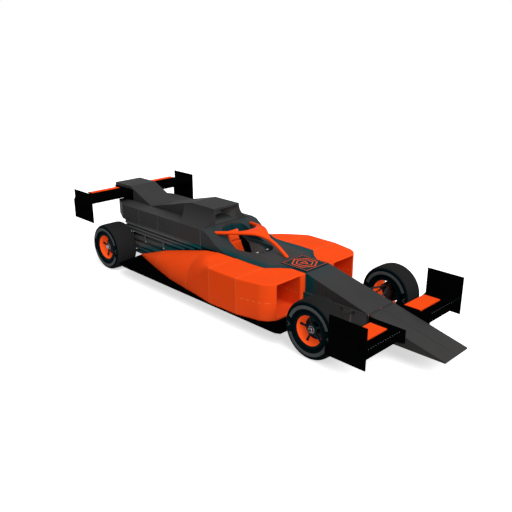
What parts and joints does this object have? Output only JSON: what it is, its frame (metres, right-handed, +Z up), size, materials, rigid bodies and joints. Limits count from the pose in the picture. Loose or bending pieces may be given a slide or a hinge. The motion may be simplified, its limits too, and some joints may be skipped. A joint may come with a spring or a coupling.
{
  "type": "open wheel racing car",
  "caption": "Open wheel single-seat racing car with front and rear wings, sidepods, halo hoop, turning wheels and linked steering.",
  "frame": {"origin": "on the ground, on the centre line, halfway between the nose tip and the rear end of the tail", "axes": "+X forward to the nose, +Y to the driver's left, +Z up"},
  "size_m": [5.629, 1.82, 1.1],
  "materials": {
    "orange_paint": "satin",
    "orange_rim": "satin",
    "tyre_rubber": "matte",
    "black_magnesium": "satin",
    "machined_steel": "brushed",
    "grey_paint": "satin",
    "carbon_fibre": "matte",
    "panel_paint": "satin",
    "radiator_core": "matte",
    "cast_alloy": "cast",
    "black_tube": "matte",
    "seat_shell": "matte",
    "headrest_foam": "matte",
    "steering_grip": "matte"
  },
  "bodies": {
    "root": {"floor": "carbon_fibre", "diffuser": "carbon_fibre", "front_tub": "grey_paint", "nose_cone": "grey_paint", "tub": "grey_paint", "scuttle_panel": "panel_paint", "sidepod_right": "orange_paint", "sidepod_left": "orange_paint", "radiators": "radiator_core", "engine_cover": "grey_paint", "side_louvres": "grey_paint", "airbox": "grey_paint", "tail_cowl": "grey_paint", "engine_block": "cast_alloy", "gearbox": "cast_alloy", "crash_structure": "carbon_fibre", "tail_pylon": "carbon_fibre", "front_wing_main": "carbon_fibre", "front_wing_flaps": "orange_paint", "front_wing_endplates": "carbon_fibre", "rear_wing_main": "carbon_fibre", "rear_wing_flaps": "orange_paint", "rear_wing_endplates": "carbon_fibre", "halo": "orange_paint", "seat": "seat_shell", "headrest": "headrest_foam", "steering_column": "machined_steel", "front_wishbones": "black_tube", "rear_wishbones": "black_tube", "upright_rear_right": "cast_alloy", "upright_rear_left": "cast_alloy"},
    "knuckle_left": {"upright_front_left": "cast_alloy"},
    "knuckle_right": {"upright_front_right": "cast_alloy"},
    "rack": {"steering_rack": "machined_steel"},
    "steering": {"steering_wheel": "steering_grip"},
    "wheel_front_right": {"tyre_front_right": "tyre_rubber", "rim_front_right": "orange_rim", "spokes_front_right": "black_magnesium", "hub_front_right": "machined_steel"},
    "wheel_front_left": {"tyre_front_left": "tyre_rubber", "rim_front_left": "orange_rim", "spokes_front_left": "black_magnesium", "hub_front_left": "machined_steel"},
    "wheel_rear_right": {"tyre_rear_right": "tyre_rubber", "rim_rear_right": "orange_rim", "spokes_rear_right": "black_magnesium", "hub_rear_right": "machined_steel"},
    "wheel_rear_left": {"tyre_rear_left": "tyre_rubber", "rim_rear_left": "orange_rim", "spokes_rear_left": "black_magnesium", "hub_rear_left": "machined_steel"}
  },
  "joints": [
    {"name": "steer_left", "type": "hinge", "parent": "root", "child": "knuckle_left", "pos_m": [1.55, 0.655, 0.33], "axis": [0, 0, 1], "range_deg": [-14, 14]},
    {"name": "steer_right", "type": "hinge", "parent": "root", "child": "knuckle_right", "pos_m": [1.55, -0.655, 0.33], "axis": [0, 0, 1], "range_deg": [-14, 14]},
    {"name": "rack_slide", "type": "slide", "parent": "root", "child": "rack", "axis": [0, -1, 0], "range_m": [-0.027, 0.027]},
    {"name": "steering_wheel_turn", "type": "hinge", "parent": "root", "child": "steering", "pos_m": [0.11, 0, 0.58], "axis": [-0.9397, 0, 0.342], "range_deg": [-112.5, 112.5]},
    {"name": "spin_front_right", "type": "hinge", "parent": "knuckle_right", "child": "wheel_front_right", "pos_m": [1.55, -0.655, 0.33], "axis": [0, 1, 0], "continuous": true},
    {"name": "spin_front_left", "type": "hinge", "parent": "knuckle_left", "child": "wheel_front_left", "pos_m": [1.55, 0.655, 0.33], "axis": [0, 1, 0], "continuous": true},
    {"name": "spin_rear_right", "type": "hinge", "parent": "root", "child": "wheel_rear_right", "pos_m": [-2.24, -0.655, 0.324], "axis": [0, 1, 0], "continuous": true},
    {"name": "spin_rear_left", "type": "hinge", "parent": "root", "child": "wheel_rear_left", "pos_m": [-2.24, 0.655, 0.324], "axis": [0, 1, 0], "continuous": true}
  ],
  "couplings": [
    {"joint": "steer_right", "follows": "steer_left", "ratio": 1},
    {"joint": "rack_slide", "follows": "steer_left", "m_per_rad": 0.11},
    {"joint": "steering_wheel_turn", "follows": "steer_left", "ratio": 8}
  ]
}
